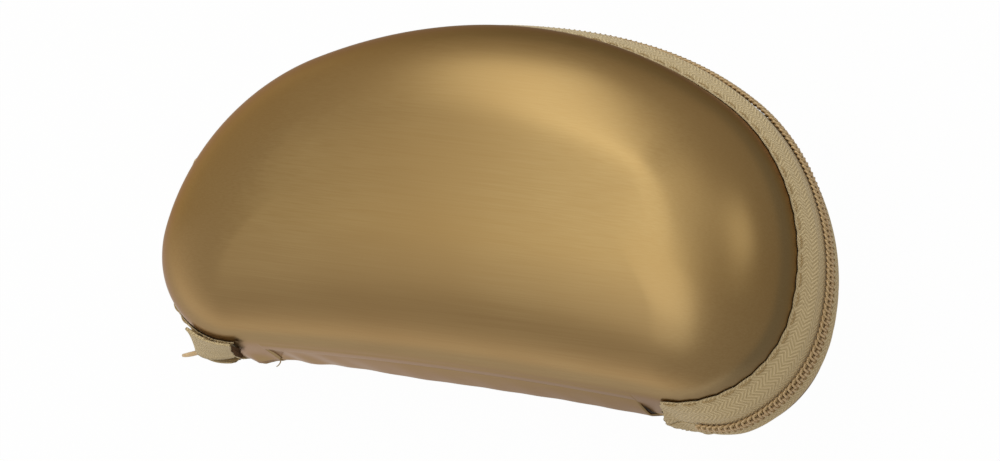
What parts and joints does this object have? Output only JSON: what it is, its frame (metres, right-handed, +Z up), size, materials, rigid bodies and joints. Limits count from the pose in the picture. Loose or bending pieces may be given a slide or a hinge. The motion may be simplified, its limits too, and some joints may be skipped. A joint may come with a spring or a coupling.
{
  "type": "zipped hard case",
  "caption": "Half-moon hard case in two moulded halves with a fabric hinge strip and a coil zipper round the curved side",
  "frame": {"origin": "Middle of the flat on the base that the case lies on", "axes": "+X along the hinge, +Y from the hinge to the curved side that unzips, +Z up through the lid"},
  "size_m": [0.1738, 0.0895, 0.06],
  "materials": {
    "gold_cloth_shell": "satin metallic cloth bonded to moulded foam",
    "lining": "matt knitted lining",
    "zip_tape": "woven herringbone tape",
    "thread": "polyester sewing thread",
    "coil": "nylon coil",
    "slider_metal": "plated die casting"
  },
  "bodies": {
    "base": {"base_shell": "gold_cloth_shell", "base_tape": "zip_tape", "base_tape_tail": "zip_tape", "base_stitching": "thread", "base_coil": "coil", "hinge_skin": "gold_cloth_shell", "hinge_lining": "lining"},
    "lid": {"lid_shell": "gold_cloth_shell", "lid_tape": "zip_tape", "lid_tape_tail": "zip_tape", "lid_stitching": "thread", "lid_coil": "coil"},
    "slider": {"slider_body": "slider_metal", "slider_bridge": "slider_metal"},
    "pull": {"pull_tab": "slider_metal"}
  },
  "joints": [
    {"name": "lid_hinge", "type": "hinge", "parent": "base", "child": "lid", "pos_m": [0, -0.04295, 0.03], "axis": [1, 0, 0], "range_deg": [0, 115], "deforming": ["hinge_skin", "hinge_lining", "base_coil"]},
    {"name": "slider_travel", "type": "hinge", "parent": "base", "child": "slider", "pos_m": [-0.029, -0.0172, 0.03], "axis": [0, 0, 1], "range_deg": [-50, 0], "deforming": ["lid_coil"]},
    {"name": "pull_hinge", "type": "hinge", "parent": "slider", "child": "pull", "pos_m": [-0.08654, -0.01054, 0.03], "axis": [0, 0, 1], "range_deg": [0, 170]}
  ]
}
